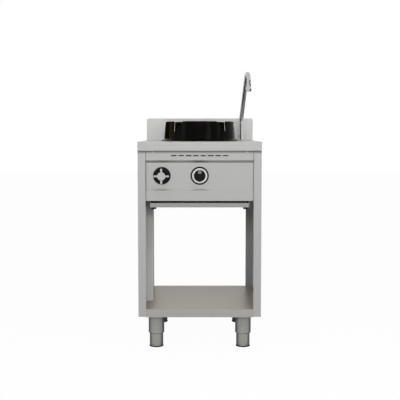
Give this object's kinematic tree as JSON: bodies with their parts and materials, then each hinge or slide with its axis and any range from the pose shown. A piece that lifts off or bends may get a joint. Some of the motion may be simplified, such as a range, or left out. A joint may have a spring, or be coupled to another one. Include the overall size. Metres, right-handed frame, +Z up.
{
  "type": "wok burner",
  "caption": "Free-standing gas wok range: notched wok ring over a burner, swivel water spout, front taps, drip tray, open storage bay and adjustable legs.",
  "frame": {"origin": "on the floor, midway in the overall width and in the overall depth from the cross handle to the back of the worktop", "axes": "+Z up, -Y to the front where the taps are, +X to the right as seen from the front"},
  "size_m": [0.5, 0.7, 1.153],
  "materials": {
    "worktop_steel": "satin grained stainless sheet",
    "panel_steel": "satin grained stainless sheet",
    "shelf_steel": "dull rolled sheet",
    "tray_steel": "satin sheet",
    "leg_steel": "turned tube, satin",
    "foot_black": "moulded, matt",
    "fastener_steel": "bright zinc",
    "ring_enamel": "black enamelled casting, semi-gloss",
    "burner_iron": "raw casting",
    "brass": "turned",
    "copper": "drawn copper tube",
    "chrome": "polished",
    "knob_black": "moulded, satin",
    "bezel_black": "moulded, gloss",
    "dial_silver": "spun"
  },
  "bodies": {
    "cabinet": {"worktop": "worktop_steel", "upstand": "worktop_steel", "left_side_panel": "panel_steel", "right_side_panel": "panel_steel", "front_panel": "panel_steel", "fascia_screws": "fastener_steel", "bottom_shelf": "shelf_steel", "rear_panel": "panel_steel", "service_duct": "panel_steel", "left_leg_bearer": "shelf_steel", "right_leg_bearer": "shelf_steel", "leg_front_left": "leg_steel", "leg_front_right": "leg_steel", "leg_rear_left": "leg_steel", "leg_rear_right": "leg_steel", "leg_bolts": "fastener_steel", "left_tray_runner": "shelf_steel", "right_tray_runner": "shelf_steel", "spill_bowl": "tray_steel", "burner_bridge": "shelf_steel", "burner_body": "burner_iron", "injector_holder": "fastener_steel", "injector": "brass", "pilot_burner": "brass", "pilot_pipe": "copper", "thermocouple": "copper", "gas_tap": "brass", "knob_bezel": "bezel_black", "dial_ring": "dial_silver", "panel_nuts": "fastener_steel", "gas_feed_pipe": "copper", "gas_supply_pipe": "copper", "gas_inlet": "brass", "water_valve": "brass", "valve_escutcheon": "bezel_black", "water_supply_pipe": "copper", "water_inlet": "brass", "water_riser_pipe": "copper", "faucet_base": "chrome", "faucet_nut": "fastener_steel", "swivel_nut": "chrome"},
    "tray": {"drip_tray": "tray_steel"},
    "gas_plug": {"gas_tap_plug": "brass"},
    "gas_knob": {"gas_knob": "knob_black", "gas_spindle": "fastener_steel"},
    "water_handle": {"cross_handle": "chrome", "valve_spindle": "fastener_steel"},
    "spout": {"spout": "chrome", "aerator": "chrome"},
    "wok_ring": {"wok_ring": "ring_enamel"},
    "burner_head": {"burner_head": "brass"},
    "foot_front_left": {"foot_front_left": "leg_steel", "foot_ring_front_left": "foot_black"},
    "foot_front_right": {"foot_front_right": "leg_steel", "foot_ring_front_right": "foot_black"},
    "foot_rear_left": {"foot_rear_left": "leg_steel", "foot_ring_rear_left": "foot_black"},
    "foot_rear_right": {"foot_rear_right": "leg_steel", "foot_ring_rear_right": "foot_black"}
  },
  "joints": [
    {"name": "tray_slide", "type": "slide", "parent": "cabinet", "child": "tray", "axis": [0, -1, 0], "range_m": [0, 0.42]},
    {"name": "gas_turn", "type": "hinge", "parent": "cabinet", "child": "gas_plug", "pos_m": [0, -0.255, 0.7125], "axis": [0, -1, 0], "range_deg": [0, 180]},
    {"name": "gas_push", "type": "slide", "parent": "gas_plug", "child": "gas_knob", "axis": [0, 1, 0], "range_m": [0, 0.004], "stiffness_N_per_m": 1500},
    {"name": "water_turn", "type": "hinge", "parent": "cabinet", "child": "water_handle", "pos_m": [-0.153, -0.336, 0.7125], "axis": [0, -1, 0], "range_deg": [0, 90]},
    {"name": "spout_swivel", "type": "hinge", "parent": "cabinet", "child": "spout", "pos_m": [0.192, 0.23, 0.9], "axis": [0, 0, 1], "range_deg": [-180, 180]},
    {"name": "ring_lift", "type": "slide", "parent": "cabinet", "child": "wok_ring", "axis": [0, 0, 1], "range_m": [0, 0.12]},
    {"name": "head_lift", "type": "slide", "parent": "cabinet", "child": "burner_head", "axis": [0, 0, 1], "range_m": [0, 0.08]},
    {"name": "foot_front_left_height", "type": "slide", "parent": "cabinet", "child": "foot_front_left", "axis": [0, 0, -1], "range_m": [0, 0.05]},
    {"name": "foot_front_right_height", "type": "slide", "parent": "cabinet", "child": "foot_front_right", "axis": [0, 0, -1], "range_m": [0, 0.05]},
    {"name": "foot_rear_left_height", "type": "slide", "parent": "cabinet", "child": "foot_rear_left", "axis": [0, 0, -1], "range_m": [0, 0.05]},
    {"name": "foot_rear_right_height", "type": "slide", "parent": "cabinet", "child": "foot_rear_right", "axis": [0, 0, -1], "range_m": [0, 0.05]}
  ]
}
